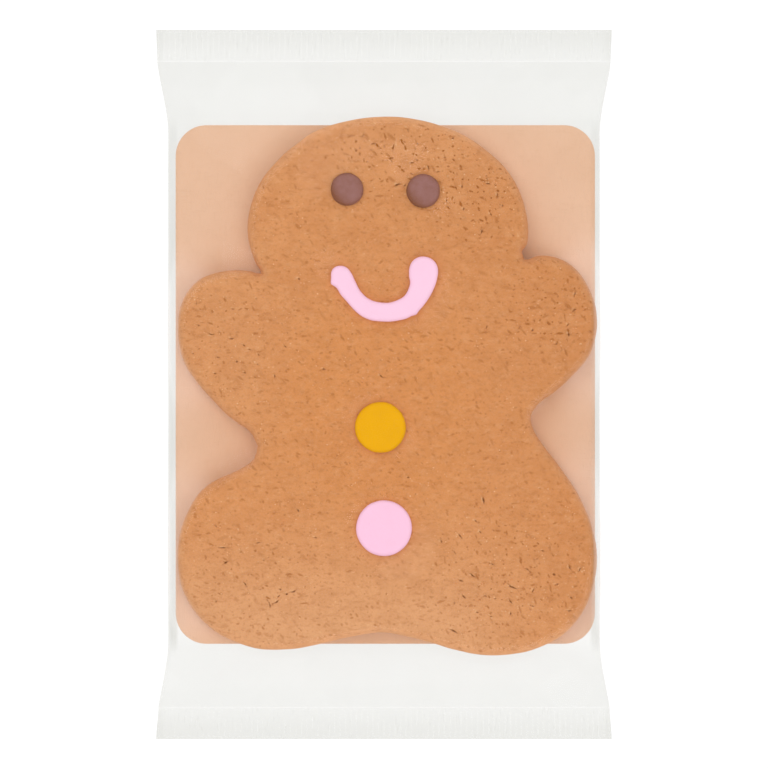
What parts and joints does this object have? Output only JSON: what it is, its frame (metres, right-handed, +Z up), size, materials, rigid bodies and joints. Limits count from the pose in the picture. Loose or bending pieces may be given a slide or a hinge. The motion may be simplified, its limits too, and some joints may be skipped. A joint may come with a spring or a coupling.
{
  "type": "gingerbread man cookie in a clear flow-wrapped pack",
  "caption": "Iced gingerbread man cookie lying on a tan card, sealed in a clear pillow-shaped film pack with crimped ends.",
  "frame": {"origin": "middle of the pack's footprint, on the surface that it lies on", "axes": "+Z up, out of the pack's front, which shows the cookie's face; +Y along the pack, towards the cookie's head; +X to the cookie's right as it is looked at"},
  "size_m": [0.1036, 0.1612, 0.0114],
  "materials": {
    "clear_film": "gloss",
    "tan_card": "matte",
    "gingerbread": "matte",
    "chocolate": "satin",
    "pink_icing": "satin",
    "yellow_icing": "satin"
  },
  "bodies": {
    "root": {"film_pack": "clear_film", "card": "tan_card", "cookie": "gingerbread", "eye_left": "chocolate", "eye_right": "chocolate", "mouth": "pink_icing", "button_yellow": "yellow_icing", "button_pink": "pink_icing"}
  },
  "joints": []
}
